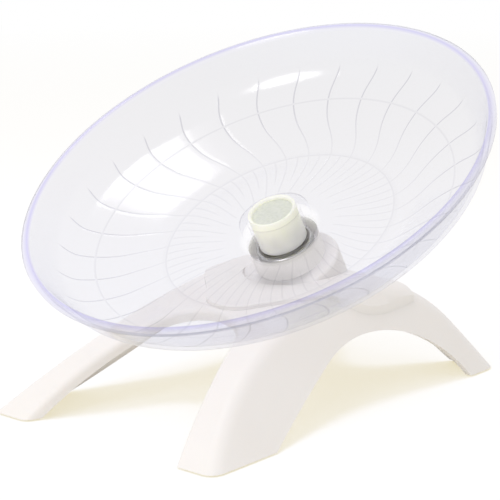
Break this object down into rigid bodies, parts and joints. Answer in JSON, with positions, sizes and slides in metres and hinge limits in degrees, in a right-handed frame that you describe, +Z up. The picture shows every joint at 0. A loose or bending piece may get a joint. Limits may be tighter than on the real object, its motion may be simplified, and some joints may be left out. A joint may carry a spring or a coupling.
{
  "type": "rodent exercise saucer",
  "caption": "Clear exercise saucer for small rodents that spins on a tilted ball bearing over a white stand with arched feet.",
  "frame": {"origin": "on the table under the middle of the stand", "axes": "+Z up; -Y the way the dish leans, towards its low side; +X to the right seen from there"},
  "size_m": [0.18, 0.1668, 0.1282],
  "materials": {
    "clear_plastic": "polished clear polystyrene",
    "cap_plastic": "smooth, slightly translucent white",
    "white_plastic": "satin moulded white",
    "bearing_steel": "ground and polished",
    "cage_steel": "pressed sheet",
    "zinc_steel": "zinc plated",
    "pad_rubber": "matte"
  },
  "bodies": {
    "stand": {"stand_shell": "white_plastic", "post": "white_plastic", "post_screws": "zinc_steel", "axle_bolt": "zinc_steel", "bolt_washer": "zinc_steel", "spacer_lower": "zinc_steel", "bearing_inner_race": "bearing_steel", "spacer_upper": "zinc_steel", "hub_cap": "cap_plastic", "cap_nut": "zinc_steel", "pad_front_left": "pad_rubber", "pad_front_right": "pad_rubber", "pad_rear_left": "pad_rubber", "pad_rear_right": "pad_rubber"},
    "saucer": {"dish": "clear_plastic", "bearing_outer_race": "bearing_steel", "bearing_shield_upper": "cage_steel", "bearing_shield_lower": "cage_steel"},
    "ball_ring": {"bearing_cage": "cage_steel", "bearing_balls": "bearing_steel"}
  },
  "joints": [
    {"name": "dish_spin", "type": "hinge", "parent": "stand", "child": "saucer", "pos_m": [0, 0.01561, 0.05123], "axis": [0, -0.4772, 0.8788], "continuous": true},
    {"name": "ball_ring_spin", "type": "hinge", "parent": "stand", "child": "ball_ring", "pos_m": [0, 0.01561, 0.05123], "axis": [0, -0.4772, 0.8788], "continuous": true}
  ],
  "couplings": [
    {"joint": "ball_ring_spin", "follows": "dish_spin", "ratio": 0.6323}
  ]
}
